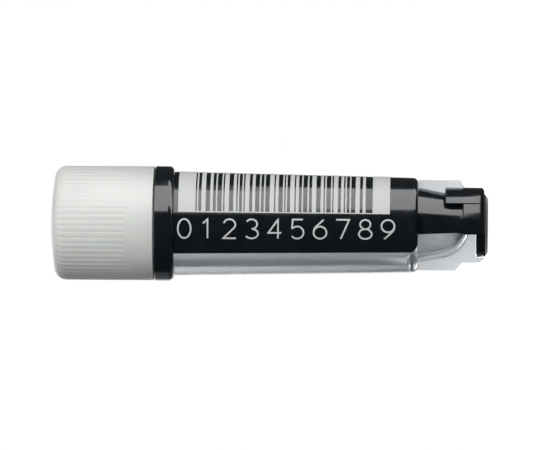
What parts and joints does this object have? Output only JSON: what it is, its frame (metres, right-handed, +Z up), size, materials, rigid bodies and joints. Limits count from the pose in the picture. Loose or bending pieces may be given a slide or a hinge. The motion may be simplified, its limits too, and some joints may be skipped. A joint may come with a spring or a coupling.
{
  "type": "cryovial",
  "caption": "Two-shot screw-cap cryogenic storage tube: clear inner tube with a rounded cone bottom, black jacket with a clear window, locking foot and fluted cap.",
  "frame": {"origin": "centre of the foot's flat face, on the tube's axis", "axes": "+Z up the tube's axis from the foot to the cap; the clear window faces -X"},
  "size_m": [0.0126, 0.0126, 0.0483],
  "materials": {
    "clear_plastic": "clear moulded polypropylene, slightly hazy",
    "black_plastic": "glossy black moulded polypropylene with pale laser marks",
    "white_plastic": "off-white satin moulded polypropylene",
    "seal_rubber": "pale soft moulded elastomer"
  },
  "bodies": {
    "tube": {"tube": "clear_plastic", "jacket": "black_plastic"},
    "seal": {"cap_seal": "seal_rubber"},
    "cap": {"screw_cap": "white_plastic"}
  },
  "joints": [
    {"name": "cap_lift", "type": "slide", "parent": "tube", "child": "seal", "axis": [0, 0, 1], "range_m": [0, 0.01]},
    {"name": "cap_turn", "type": "hinge", "parent": "seal", "child": "cap", "pos_m": [0, 0, 0.042], "axis": [0, 0, 1], "range_deg": [0, 1125]}
  ],
  "couplings": [
    {"joint": "cap_turn", "follows": "cap_lift", "rad_per_m": 1963.5}
  ]
}
